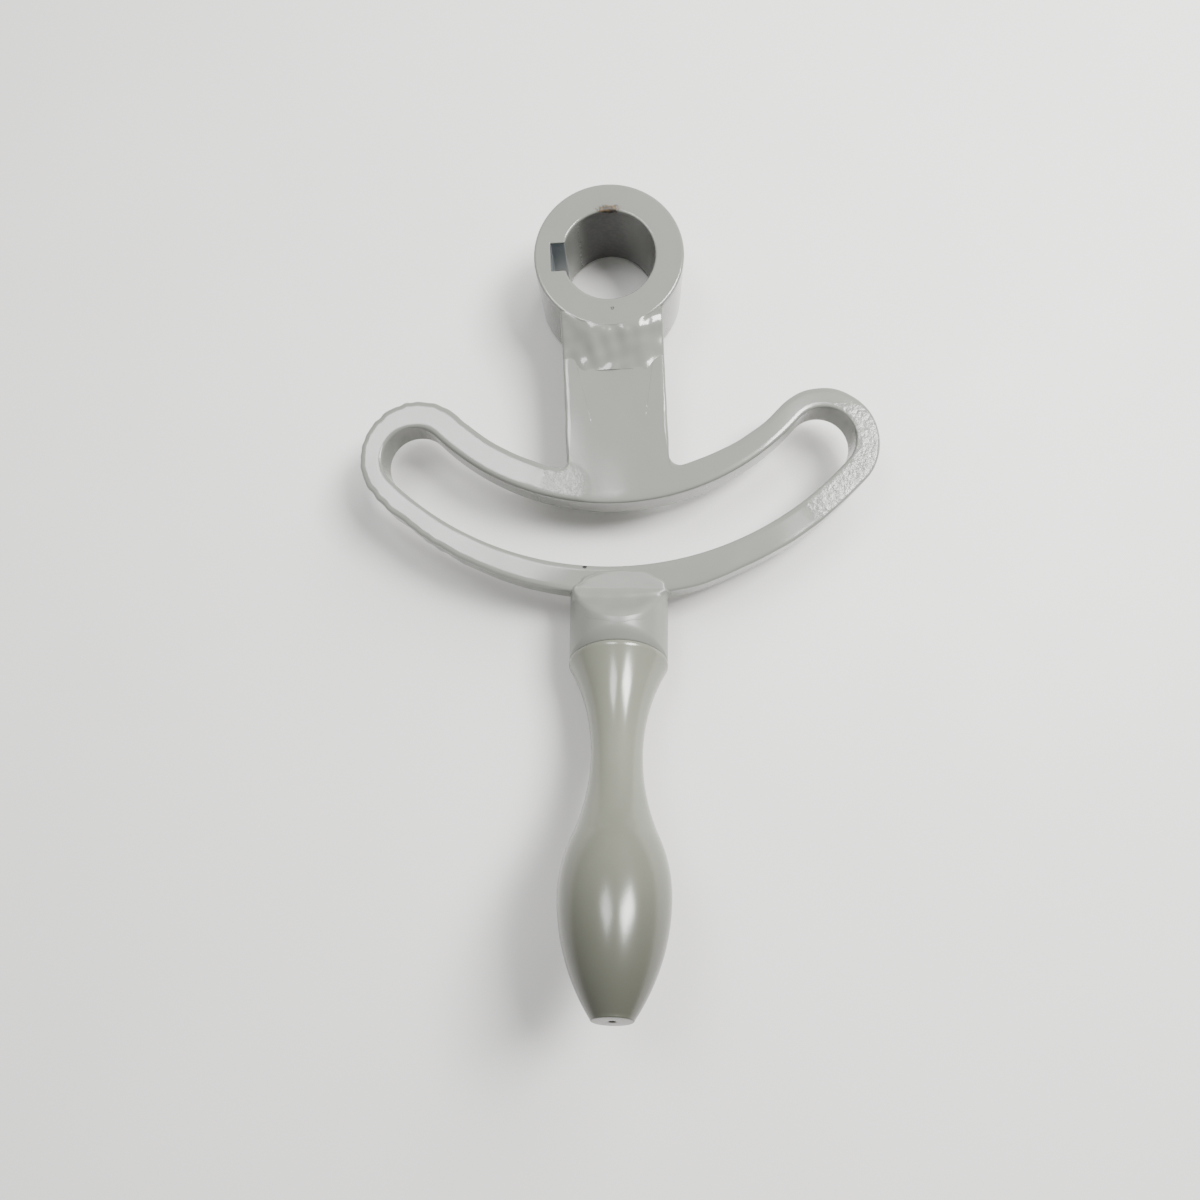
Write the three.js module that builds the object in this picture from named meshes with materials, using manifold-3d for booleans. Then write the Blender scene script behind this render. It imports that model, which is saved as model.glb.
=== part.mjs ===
// Painted steel control lever: a keyed hub, a flame-cut plate that is both arm and slotted quadrant,
// a round socket welded to the quadrant's outer rail, and a turned handle screwed into the socket.
//
// Millimetres. The origin is on the bore's axis at the hub's back face. +Z runs along the bore to the
// front of the lever, and the arm runs towards -Y. An angle in the quadrant is measured from -Y, and
// is positive towards +X.

import * as THREE from 'three';
import { mergeVertices } from 'three/addons/utils/BufferGeometryUtils.js';
import Module from 'manifold-3d';

const wasm = await Module();
wasm.setup();

const radians = THREE.MathUtils.degToRad;
const down = -Math.PI / 2; // direction of -Y, as an angle from +X

// ---- driving dimensions ------------------------------------------------------------------------

const chordError = 0.02; // of the facets that stand for a curve
const seatGap = 0.3; // between pieces that touch
const brokenEdge = 0.7; // rounding of the painted edges

// Hub
const boreDiameter = 25;
const hubDiameter = 40.6;
const hubLength = 28;
const keyWidth = 8;
const keyDepth = 3.3; // beyond the bore's wall

// Plate
const plateThickness = 12;
const plateSetback = 4; // of the plate's front face from the hub's front face
const armWidth = 27.4;
const armFillet = 2.5; // where the arm runs into the inner rail

// Slotted quadrant
const slotRadius = 76.1; // of the slot's centreline about the bore
const slotWidth = 17;
const slotHalfAngle = 46.2; // to the centre of each round end
const railWidth = 7.1;
const endWall = 6; // past each end of the slot

// Socket, a round bar in the plane of the plate
const socketDiameter = 26;
const socketLength = 18.2; // from the quadrant's outer edge to the middle of the handle's seat
const handleLean = 3; // degrees off the arm's centreline, towards -X
const handleRise = 25; // degrees that the handle is cranked to the front
const tappedDepth = 12;

// Handle
const handleLength = 89.5;
const collarProud = 0.1; // of the socket
const collarWidth = 1.7;
const waistDiameter = 13.1;
const waistPlace = 27; // from the seat
const bulbDiameter = 26.9;
const bulbPlace = 61.5; // from the seat
const endDiameter = 9.4;
const handleEdge = 0.9; // rounding of the collar and the end
const centreHoleDiameter = 2;
const shankDiameter = 10;
const shankClearance = 1.5; // between the shank's tip and the bottom of its hole

// Welds
const hubWeldReach = 6.2; // of the front weld along the arm, past the hub
const hubWeldLand = 2.2; // the part of it that is dressed level with the hub
const hubWeldLeg = 6; // of the back weld
const socketWeldSlope = 50; // degrees from the plate, up to the socket's surface
const beadDepth = 1.8; // thickness of the dressed socket welds
const bareRail = 1; // width of rail left between a socket weld's toe and the slot
const beadOverhang = 1.1; // of a socket weld's oval over each side of the socket
const beadSetback = 2; // of that oval's widest place past the rail's outer edge

// ---- worked-out sizes --------------------------------------------------------------------------

const hubRadius = hubDiameter / 2;
const plateFront = hubLength - plateSetback;
const plateBack = plateFront - plateThickness;
const plateMiddle = (plateFront + plateBack) / 2;
const slotInner = slotRadius - slotWidth / 2;
const slotOuter = slotRadius + slotWidth / 2;
const innerEdge = slotInner - railWidth;
const outerEdge = slotOuter + railWidth;
const socketRadius = socketDiameter / 2;
const socketReach = outerEdge + socketLength;
const cutterSize = 4 * (outerEdge + handleLength);

// ---- making and cutting solids -----------------------------------------------------------------

/** The closed solid of a geometry, after an optional placing. */
function solidOf(geometry, placing = new THREE.Matrix4()) {
  const bare = geometry.index ? geometry.toNonIndexed() : geometry.clone();
  bare.deleteAttribute('normal');
  bare.deleteAttribute('uv');
  bare.applyMatrix4(placing);
  const merged = mergeVertices(bare, 1e-4);
  const vertProperties = new Float32Array(merged.attributes.position.array);
  const triVerts = new Uint32Array(merged.index.array);
  return new wasm.Manifold(new wasm.Mesh({ numProp: 3, vertProperties, triVerts }));
}

/** A named piece with its paint, from its solid. */
function piece(name, solid, paint) {
  const { vertProperties, triVerts } = solid.getMesh();
  const geometry = new THREE.BufferGeometry();
  geometry.setAttribute('position', new THREE.BufferAttribute(new Float32Array(vertProperties), 3));
  geometry.setIndex(new THREE.BufferAttribute(new Uint32Array(triVerts), 1));
  geometry.computeVertexNormals();
  const mesh = new THREE.Mesh(geometry, paint);
  mesh.name = name;
  return mesh;
}

/** A slab between two heights, from its rim, its hole and the thinnest wall that these leave. */
function slab(rim, hole, wall, low, high) {
  const edge = Math.min(brokenEdge, wall / 3);
  const shape = new THREE.Shape(outline(rim));
  shape.holes.push(new THREE.Path(outline(hole)));
  const geometry = new THREE.ExtrudeGeometry(shape, {
    depth: high - low - 2 * edge,
    bevelThickness: edge,
    bevelSize: edge,
    bevelOffset: -edge,
    bevelSegments: 2,
  });
  return solidOf(geometry.translate(0, 0, low + edge));
}

/** How many facets stand for a full round. */
function facets(radius) {
  return 4 * Math.ceil(Math.PI / 4 / Math.acos(1 - chordError / radius));
}

/** A solid of revolution about Z, from the corners [radius, height] of its section. */
function turned(corners) {
  const section = corners.map(([radius, height]) => new THREE.Vector2(radius, height));
  const widest = Math.max(...corners.map(([radius]) => radius));
  return new THREE.LatheGeometry(section, facets(widest)).rotateX(Math.PI / 2);
}

/** A round rod along Y, centred on the origin. */
function rod(radius, length) {
  return new THREE.CylinderGeometry(radius, radius, length, facets(radius));
}

/** Points [x, y] of an arc, end points included. */
function arc(centre, radius, from, to) {
  const steps = Math.ceil((facets(radius) * Math.abs(to - from)) / (2 * Math.PI));
  return Array.from({ length: steps + 1 }, (_, step) => {
    const angle = from + ((to - from) * step) / steps;
    return [centre[0] + radius * Math.cos(angle), centre[1] + radius * Math.sin(angle)];
  });
}

/** An outline's points as vectors, without those that repeat the one before. */
function outline(points) {
  const corners = points.map(([x, y]) => new THREE.Vector2(x, y));
  return corners.filter((corner, i) => corner.distanceTo(corners.at(i - 1)) > chordError / 10);
}

/** A straight prism along X with a closed section of corners [y, z]. */
function prism(corners, width) {
  const section = new THREE.Shape(corners.map(([y, z]) => new THREE.Vector2(y, z)));
  const geometry = new THREE.ExtrudeGeometry(section, { depth: width, bevelEnabled: false });
  const alongX = new THREE.Matrix4().makeBasis(
    new THREE.Vector3(0, 1, 0),
    new THREE.Vector3(0, 0, 1),
    new THREE.Vector3(1, 0, 0),
  );
  return geometry.translate(0, 0, -width / 2).applyMatrix4(alongX);
}

/** A point of the quadrant, from its distance to the bore's axis and its angle. */
function polar(radius, angle) {
  return [radius * Math.sin(angle), -radius * Math.cos(angle)];
}

// ---- paint -------------------------------------------------------------------------------------

const leverPaint = new THREE.MeshStandardMaterial({ color: 0xb4b7b2, roughness: 0.32, metalness: 0 });
const weldPaint = new THREE.MeshStandardMaterial({ color: 0xb8bbb6, roughness: 0.36, metalness: 0 });
const handlePaint = new THREE.MeshStandardMaterial({ color: 0x9fa496, roughness: 0.28, metalness: 0 });

// ---- hub ---------------------------------------------------------------------------------------

/** The bore with its keyway, on the side away from +X. */
function keyedBore() {
  const radius = boreDiameter / 2;
  const mouth = Math.asin(keyWidth / 2 / radius);
  return [
    ...arc([0, 0], radius, -Math.PI + mouth, Math.PI - mouth),
    [-radius - keyDepth, keyWidth / 2],
    [-radius - keyDepth, -keyWidth / 2],
  ];
}

function makeHub() {
  const rim = arc([0, 0], hubRadius, 0, 2 * Math.PI);
  const wall = hubRadius - Math.hypot(boreDiameter / 2 + keyDepth, keyWidth / 2); // at the keyway's corners
  return piece('hub', slab(rim, keyedBore(), wall, 0, hubLength), leverPaint);
}

// ---- plate: arm and slotted quadrant -----------------------------------------------------------

/** The slot's rim: two arcs about the bore, joined by a half round at each end. */
function slotRim() {
  const half = slotWidth / 2;
  const turn = radians(slotHalfAngle);
  const [endX, endY] = polar(slotRadius, turn);
  return [
    ...arc([0, 0], slotOuter, down - turn, down + turn),
    ...arc([endX, endY], half, down + turn, turn - down),
    ...arc([0, 0], slotInner, down + turn, down - turn),
    ...arc([-endX, endY], half, -down - turn, -3 * down - turn),
  ];
}

/** The plate's rim, anticlockwise from the right corner of the arm's top. */
function plateRim() {
  const half = armWidth / 2;
  const seat = hubRadius + seatGap;
  const corner = Math.asin(half / seat);
  const filletX = half + armFillet;
  const filletTurn = Math.asin(filletX / (innerEdge - armFillet));
  const filletY = -(innerEdge - armFillet) * Math.cos(filletTurn);
  const setback = (railWidth - endWall) / slotRadius; // the end rounds start before the slot's ends
  const turn = radians(slotHalfAngle) - setback;
  const round = slotWidth / 2 + railWidth;
  const [endX, endY] = polar(slotRadius, turn);
  return [
    ...arc([0, 0], seat, down + corner, down - corner),
    ...arc([-filletX, filletY], armFillet, 0, down - filletTurn),
    ...arc([0, 0], innerEdge, down - filletTurn, down - turn),
    ...arc([-endX, endY], round, -down - turn, -3 * down - turn),
    ...arc([0, 0], outerEdge, down - turn, down + turn),
    ...arc([endX, endY], round, down + turn, turn - down),
    ...arc([0, 0], innerEdge, down + turn, down + filletTurn),
    ...arc([filletX, filletY], armFillet, down + filletTurn, 2 * down),
  ];
}

function makePlate() {
  const plate = slab(plateRim(), slotRim(), railWidth, plateBack, plateFront)
    .subtract(beadRoom(1))
    .subtract(beadRoom(-1));
  return piece('lever_plate', plate, leverPaint);
}

// ---- socket ------------------------------------------------------------------------------------

// The bar's own frame has the middle of the handle's seat at its origin, runs along +Y to the plate,
// and has the lever's front at +Z. Its leaning line crosses the arm's centreline at the slot.
const barFrame = new THREE.Matrix4()
  .makeTranslation(0, -slotInner, plateMiddle)
  .multiply(new THREE.Matrix4().makeRotationZ(-radians(handleLean)))
  .multiply(new THREE.Matrix4().makeTranslation(0, slotInner - socketReach, 0));

// The handle's own frame has the seat at z = 0 and the handle's end at z = handleLength.
const handleFrame = barFrame
  .clone()
  .multiply(new THREE.Matrix4().makeRotationX(Math.PI / 2 - radians(handleRise)));

/** The round bar as far as the handle's seat, with its other end inside the plate. */
function bar(radius) {
  const round = solidOf(rod(radius, 2 * (socketReach - slotRadius)), barFrame);
  const pastSeat = new THREE.BoxGeometry(cutterSize, cutterSize, cutterSize).translate(0, 0, cutterSize / 2);
  return round.subtract(solidOf(pastSeat, handleFrame));
}

/** All that lies over a bead's flat and slope, less a depth, on the front (1) or the back (-1). */
function overBead(face, depth) {
  const slope = radians(socketWeldSlope);
  const footY = socketLength - depth * Math.tan(slope / 2);
  const footZ = plateThickness / 2 - depth;
  const topZ = footZ + cutterSize * Math.sin(slope);
  const section = [
    [footY, footZ],
    [footY - cutterSize * Math.cos(slope), topZ],
    [footY + cutterSize, topZ],
    [footY + cutterSize, footZ],
  ];
  return solidOf(prism(section.map(([y, z]) => [y, face * z]), cutterSize), barFrame);
}

/** The upright oval that bounds a bead, from the handle's side to its toe on the rail. */
function beadOval(clearance) {
  const across = socketRadius + beadOverhang + clearance;
  const along = beadSetback + railWidth - bareRail + clearance;
  const oval = rod(across, cutterSize).rotateX(Math.PI / 2).scale(1, along / across, 1);
  return solidOf(oval.translate(0, socketLength - beadSetback, 0), barFrame);
}

/** The room that a bead takes in the rail, with its clearance. */
function beadRoom(face) {
  return bar(socketRadius + seatGap)
    .intersect(beadOval(seatGap))
    .intersect(overBead(face, beadDepth + seatGap));
}

function makeSocket() {
  const quadrant = rod(outerEdge + seatGap, cutterSize).rotateX(Math.PI / 2);
  const hole = rod(shankDiameter / 2 + seatGap, 2 * tappedDepth).rotateX(Math.PI / 2);
  const socket = bar(socketRadius)
    .subtract(solidOf(quadrant))
    .subtract(overBead(1, beadDepth + seatGap))
    .subtract(overBead(-1, beadDepth + seatGap))
    .subtract(solidOf(hole, handleFrame));
  return piece('handle_socket', socket, leverPaint);
}

// ---- handle ------------------------------------------------------------------------------------

/** Radius of the curve that leaves level and falls by a drop over a run. */
function curveRadius(run, drop) {
  return (run * run + drop * drop) / (2 * drop);
}

/** The handle's section as [radius, distance from the seat], from the shank's tip to the far end. */
function handleSection() {
  const collar = socketRadius + collarProud;
  const waist = waistDiameter / 2;
  const bulb = bulbDiameter / 2;
  const shank = shankDiameter / 2;
  const shankLength = tappedDepth - shankClearance;
  const waistCurve = curveRadius(waistPlace - collarWidth, collar - waist);
  const tipCurve = curveRadius(handleLength - bulbPlace, bulb - endDiameter / 2);
  const curves = curveRadius(bulbPlace - waistPlace, bulb - waist); // waist and shoulder together
  const shoulderCurve = curves - waistCurve;
  const meeting = Math.asin((bulbPlace - waistPlace) / curves);
  const neckStart = Math.acos((waistCurve + waist - collar) / waistCurve);
  const tipCentre = bulb - tipCurve;
  const endPlace = handleLength - handleEdge;
  const tipTurn = Math.asin((endPlace - bulbPlace) / (tipCurve - handleEdge));
  const endCentre = tipCentre + (tipCurve - handleEdge) * Math.cos(tipTurn);
  const drill = centreHoleDiameter / 2;
  return [
    [0, -shankLength],
    [shank - handleEdge, -shankLength],
    [shank, handleEdge - shankLength],
    [shank, seatGap],
    ...arc([collar - handleEdge, seatGap + handleEdge], handleEdge, down, 0),
    ...arc([waist + waistCurve, waistPlace], waistCurve, Math.PI + neckStart, Math.PI - meeting),
    ...arc([bulb - shoulderCurve, bulbPlace], shoulderCurve, -meeting, 0).slice(1),
    ...arc([tipCentre, bulbPlace], tipCurve, 0, tipTurn).slice(1),
    ...arc([endCentre, endPlace], handleEdge, tipTurn, -down).slice(1),
    [drill, handleLength],
    [0, handleLength - drill * Math.sqrt(3)],
  ];
}

function makeHandle() {
  const handle = piece('handle', solidOf(turned(handleSection())), handlePaint);
  handle.applyMatrix4(handleFrame);
  return handle;
}

// ---- welds -------------------------------------------------------------------------------------

/** A bead round the hub that lies on the arm only, from its section of [radius, height]. */
function hubBead(section) {
  const onArm = new THREE.BoxGeometry(armWidth, cutterSize, cutterSize).translate(0, -cutterSize / 2, 0);
  return solidOf(turned([...section, section[0]])).intersect(solidOf(onArm));
}

function makeHubWelds() {
  const wall = hubRadius + seatGap;
  const front = [
    [wall, plateFront + seatGap],
    [wall + hubWeldReach, plateFront + seatGap],
    [wall + hubWeldLand, hubLength],
    [wall, hubLength],
  ];
  const back = [
    [wall, plateBack - seatGap - hubWeldLeg],
    [wall + hubWeldLeg, plateBack - seatGap],
    [wall, plateBack - seatGap],
  ];
  return [
    piece('hub_weld_front', hubBead(front), weldPaint),
    piece('hub_weld_back', hubBead(back), weldPaint),
  ];
}

function makeSocketWelds() {
  return [1, -1].map((face) => {
    const bead = bar(socketRadius)
      .intersect(beadOval(0))
      .intersect(overBead(face, beadDepth))
      .subtract(overBead(face, 0));
    return piece(face > 0 ? 'socket_weld_front' : 'socket_weld_back', bead, weldPaint);
  });
}

// ---- the lever ---------------------------------------------------------------------------------

const lever = new THREE.Group();
lever.add(makeHub(), makePlate(), makeSocket(), makeHandle(), ...makeHubWelds(), ...makeSocketWelds());

export default lever;
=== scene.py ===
"""A painted steel control lever, lying on a pale table.

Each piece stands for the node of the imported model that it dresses: the keyed hub, the plate that is
arm and slotted quadrant, the socket, the turned handle and the four weld beads. Lengths are in
millimetres until a mesh is made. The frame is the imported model's: the origin lies on the bore's axis
at the hub's back face, +Z points to the lever's front, and the arm runs towards -Y. An angle in the
quadrant is measured from -Y and is positive towards +X.
"""

import logging
import math
from dataclasses import dataclass
from enum import Enum
from typing import Any, Mapping, Sequence, Union

import bpy
import numpy as np
from mathutils import Euler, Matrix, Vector


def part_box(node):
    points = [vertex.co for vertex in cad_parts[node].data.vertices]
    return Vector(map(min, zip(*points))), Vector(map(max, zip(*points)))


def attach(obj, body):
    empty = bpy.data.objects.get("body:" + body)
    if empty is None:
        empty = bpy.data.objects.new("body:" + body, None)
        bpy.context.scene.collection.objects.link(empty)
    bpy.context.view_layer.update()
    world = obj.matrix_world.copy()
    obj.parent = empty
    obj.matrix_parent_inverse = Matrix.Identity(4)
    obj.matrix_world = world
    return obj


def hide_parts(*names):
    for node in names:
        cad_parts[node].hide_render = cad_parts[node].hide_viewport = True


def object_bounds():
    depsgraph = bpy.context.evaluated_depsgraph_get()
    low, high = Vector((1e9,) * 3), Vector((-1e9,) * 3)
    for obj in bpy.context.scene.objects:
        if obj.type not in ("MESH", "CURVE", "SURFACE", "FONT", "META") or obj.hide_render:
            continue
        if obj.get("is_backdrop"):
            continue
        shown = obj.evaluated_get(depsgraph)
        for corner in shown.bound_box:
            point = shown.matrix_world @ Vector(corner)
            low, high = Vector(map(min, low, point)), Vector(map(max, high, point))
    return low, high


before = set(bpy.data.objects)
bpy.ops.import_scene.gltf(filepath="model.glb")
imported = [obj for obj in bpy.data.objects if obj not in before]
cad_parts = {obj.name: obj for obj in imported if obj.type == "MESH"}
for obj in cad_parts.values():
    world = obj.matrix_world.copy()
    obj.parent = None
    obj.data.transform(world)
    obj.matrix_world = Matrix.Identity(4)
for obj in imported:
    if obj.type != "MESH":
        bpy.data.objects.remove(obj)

MM = 0.001
QUARTER = math.pi / 2

log = logging.getLogger("lever")

Array = np.ndarray
Colour = tuple[float, float, float]


class Face(Enum):
    """A face of the plate, by the sign of its normal along Z."""

    FRONT = 1
    BACK = -1


class Side(Enum):
    """A side of the arm, by the sign of X."""

    RIGHT = 1
    LEFT = -1


# ---- curves and grids ----------------------------------------------------------------------------


def arc(centre: Sequence[float], radius: float, start: float, end: float, count: int) -> Array:
    """Points of an arc: centre + radius * (cos a, sin a), a even from start to end, which is left out.

    Args:
        centre: Middle of the arc.
        radius: Radius of the arc.
        start: First angle, in radians from +X.
        end: Angle just past the last point.
        count: Number of points.

    Returns:
        The points, (count, 2).
    """
    angle = np.linspace(start, end, count, endpoint=False)
    return np.stack([centre[0] + radius * np.cos(angle), centre[1] + radius * np.sin(angle)], axis=1)


def polar(radius: Union[float, Array], angle: Union[float, Array]) -> Array:
    """Points (radius * sin angle, -radius * cos angle), the angle in radians from -Y."""
    return np.stack([radius * np.sin(angle), -radius * np.cos(angle)], axis=-1)


def line(start: Sequence[float], end: Sequence[float], count: int) -> Array:
    """Even points from start to end, which is left out."""
    return np.linspace(np.asarray(start, float), np.asarray(end, float), count, endpoint=False)


def ease(value: Array, low: Union[float, Array], high: Union[float, Array]) -> Array:
    """Smooth step: 3t^2 - 2t^3 of the share t of the way from low to high, held at 0 and 1 outside."""
    share = np.clip((value - low) / (high - low), 0.0, 1.0)
    return share * share * (3.0 - 2.0 * share)


def soft_min(first: Array, second: Array, blend: float) -> Array:
    """The lower of two heights, with a round of the given size where they cross.

    The formula is min(a, b) - h^2 * blend / 4, where h is the share 1 - |a - b| / blend, at least 0.
    """
    share = np.maximum(blend - np.abs(first - second), 0.0) / blend
    return np.minimum(first, second) - share * share * blend / 4.0


def soft_max(first: Array, second: Array, blend: float) -> Array:
    """The higher of two heights, with a hollow round where they cross: -soft_min(-a, -b)."""
    return -soft_min(-first, -second, blend)


def ripple(x: Array, y: Array, wavelength: float, seed: int, waves: int = 9) -> Array:
    """Gentle random relief, about 1 high: a sum of plane waves sin(k . p + phase) over sqrt(waves / 2).

    Args:
        x: First coordinates.
        y: Second coordinates, of the same shape.
        wavelength: Middle wavelength, the waves lying within a third of it.
        seed: Seed of the waves' directions, lengths and phases.
        waves: Number of waves.

    Returns:
        The relief at each point.
    """
    draw = np.random.default_rng(seed)
    turn = draw.uniform(0, 2 * math.pi, waves)
    number = 2 * math.pi / (wavelength * draw.uniform(0.67, 1.33, waves))
    phase = draw.uniform(0, 2 * math.pi, waves)
    along = np.asarray(x)[..., None] * np.cos(turn) + np.asarray(y)[..., None] * np.sin(turn)
    return np.sin(number * along + phase).sum(axis=-1) / math.sqrt(waves / 2)


def smoothed(values: Array, reach: int) -> Array:
    """The mean of each row and its neighbours up to reach away, on a closed list of rows."""
    return sum(np.roll(values, shift, axis=0) for shift in range(-reach, reach + 1)) / (2 * reach + 1)


def respaced(points: Array, step: float) -> Array:
    """A closed outline's points moved to an even step along it, by linear interpolation."""
    closed = np.vstack([points, points[:1]])
    place = np.concatenate([[0.0], np.cumsum(np.linalg.norm(np.diff(closed, axis=0), axis=1))])
    wanted = np.linspace(0, place[-1], int(place[-1] / step), endpoint=False)
    return np.stack([np.interp(wanted, place, closed[:, axis]) for axis in (0, 1)], axis=1)


def outward(outline: Array) -> Array:
    """Unit normals of an anticlockwise closed outline: its tangent turned a quarter clockwise."""
    tangent = np.roll(outline, -1, axis=0) - np.roll(outline, 1, axis=0)
    normal = np.stack([tangent[:, 1], -tangent[:, 0]], axis=1)
    return normal / np.linalg.norm(normal, axis=1, keepdims=True)


def make_skin(name: str, grid: Array, ring: bool) -> bpy.types.Object:
    """Makes a closed, smooth-shaded mesh from a grid of points whose columns close on themselves.

    Each square of neighbouring points is a face. With ring, the last row joins the first, as on a
    torus. Without it, the first and last rows are each closed by a fan of triangles to their mean.

    Args:
        name: Name of the piece.
        grid: Points in millimetres, (rows, columns, 3).
        ring: Whether the rows close on themselves as well.

    Returns:
        The linked object, with its faces pointing outwards.
    """
    rows, columns = grid.shape[:2]
    number = np.arange(rows * columns).reshape(rows, columns)
    lower = number if ring else number[:-1]
    upper = np.roll(number, -1, axis=0) if ring else number[1:]
    squares = np.stack([lower, np.roll(lower, -1, axis=1), np.roll(upper, -1, axis=1), upper], axis=-1)
    points = grid.reshape(-1, 3)
    fans = np.empty((0, 3), int)
    if not ring:
        poles = np.stack([grid[0].mean(axis=0), grid[-1].mean(axis=0)])
        first, last = rows * columns, rows * columns + 1
        bottom, top = number[0], number[-1]
        fans = np.vstack([
            np.stack([np.full(columns, first), np.roll(bottom, -1), bottom], axis=1),
            np.stack([np.full(columns, last), top, np.roll(top, -1)], axis=1),
        ])
        points = np.vstack([points, poles])
    squares = squares.reshape(-1, 4)
    halves = np.vstack([squares[:, [0, 1, 2]], squares[:, [0, 2, 3]], fans])
    corners = points[halves]
    volume = np.einsum("ij,ij->", corners[:, 0], np.cross(corners[:, 1], corners[:, 2]))
    if volume < 0:
        squares, fans = squares[:, ::-1], fans[:, ::-1]
    mesh = bpy.data.meshes.new(name)
    mesh.vertices.add(len(points))
    mesh.vertices.foreach_set("co", (points * MM).astype(np.float32).ravel())
    mesh.loops.add(squares.size + fans.size)
    mesh.loops.foreach_set("vertex_index", np.concatenate([squares.ravel(), fans.ravel()]).astype(np.int32))
    counts = np.concatenate([np.full(len(squares), 4), np.full(len(fans), 3)])
    mesh.polygons.add(len(counts))
    mesh.polygons.foreach_set("loop_start", (np.cumsum(counts) - counts).astype(np.int32))
    mesh.update(calc_edges=True)
    mesh.validate()
    mesh.shade_smooth()
    piece = bpy.data.objects.new(name, mesh)
    bpy.context.scene.collection.objects.link(piece)
    return piece


@dataclass(frozen=True)
class RimmedSlab:
    """A flat piece between two heights, with one hole and rounded edges.

    inner and outer are its matched outlines, (points, 2), both anticlockwise. inner_edge and
    outer_edge are the radii of their rounded edges, one value or one for each point.
    """

    inner: Array
    outer: Array
    back: float
    front: float
    inner_edge: Union[float, Array]
    outer_edge: Union[float, Array]
    face_rows: int = 14
    round_rows: int = 6
    hold: float = 0.25  # the first and last face rows lie this far from the rounds
    sag: float = 0.0  # the rounds lie this much below the face, as paint draws back from an edge

    def _round(self, outline: Array, into: Array, edge: Array, face: Face) -> list[Array]:
        """Rows of a quarter round, wall to face: in by e(1 - cos a) and short of it by e(1 - sin a)."""
        level = self.front if face is Face.FRONT else self.back
        rows = []
        for turn in np.linspace(0, QUARTER, self.round_rows):
            flat = outline + into * (edge * (1 - math.cos(turn)))[:, None]
            height = level - face.value * (self.sag + edge * (1 - math.sin(turn)))
            rows.append(np.column_stack([flat, height]))
        return rows

    def _face(self, start: Array, end: Array, face: Face) -> list[Array]:
        """Rows between two rounds: straight lines from start to end, which first move off by the hold."""
        run = (end - start)[:, :2]
        near, far = (
            np.minimum(self.hold / np.maximum(np.abs((run * outward(rim[:, :2])).sum(axis=1)), 0.1), 0.2)
            for rim in (start, end)
        )
        shares = [near + (1 - near - far) * share for share in np.linspace(0, 1, self.face_rows)]
        lift = np.array([0.0, 0.0, face.value * self.sag])
        return [start + (end - start) * share[:, None] + lift for share in shares]

    def grid(self) -> Array:
        """The section's rows: up the inner wall, over the front, down the outer wall and over the back.

        Returns:
            The points as a grid that closes both ways, (rows, points, 3).
        """
        count = len(self.inner)
        inner_edge = np.broadcast_to(self.inner_edge, (count,)).astype(float)
        outer_edge = np.broadcast_to(self.outer_edge, (count,)).astype(float)
        inner_in, outer_in = outward(self.inner), -outward(self.outer)
        inner_front = self._round(self.inner, inner_in, inner_edge, Face.FRONT)
        outer_front = self._round(self.outer, outer_in, outer_edge, Face.FRONT)[::-1]
        outer_back = self._round(self.outer, outer_in, outer_edge, Face.BACK)
        inner_back = self._round(self.inner, inner_in, inner_edge, Face.BACK)[::-1]
        outer_wall = [outer_front[-1] + (outer_back[0] - outer_front[-1]) * t for t in (0.08, 0.5, 0.92)]
        inner_wall = [inner_back[-1] + (inner_front[0] - inner_back[-1]) * t for t in (0.08, 0.5, 0.92)]
        rows = [
            *inner_front, *self._face(inner_front[-1], outer_front[0], Face.FRONT), *outer_front, *outer_wall,
            *outer_back, *self._face(outer_back[-1], inner_back[0], Face.BACK), *inner_back, *inner_wall,
        ]
        return np.stack(rows)


# ---- shader maths --------------------------------------------------------------------------------

Number = Union[float, "Signal"]


class Signal:
    """A shader socket that carries a number and is used in Python arithmetic."""

    def __init__(self, graph: "Graph", socket: bpy.types.NodeSocket) -> None:
        """Wraps a socket of a graph."""
        self.graph = graph
        self.socket = socket

    def _math(self, operation: str, *terms: Number) -> "Signal":
        """A Math node on these terms."""
        return self.graph.signal("ShaderNodeMath", {"operation": operation}, dict(enumerate(terms)))

    def __add__(self, other: Number) -> "Signal":
        """self + other."""
        return self._math("ADD", self, other)

    __radd__ = __add__

    def __sub__(self, other: Number) -> "Signal":
        """self - other."""
        return self._math("SUBTRACT", self, other)

    def __rsub__(self, other: Number) -> "Signal":
        """other - self."""
        return self._math("SUBTRACT", other, self)

    def __mul__(self, other: Number) -> "Signal":
        """self * other."""
        return self._math("MULTIPLY", self, other)

    __rmul__ = __mul__

    def step(self, low: float, high: float) -> "Signal":
        """A smooth step from 0 at low to 1 at high, which may lie below low."""
        settings = {"interpolation_type": "SMOOTHSTEP"}
        inputs = {"Value": self, "From Min": low, "From Max": high}
        return self.graph.signal("ShaderNodeMapRange", settings, inputs)


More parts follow.
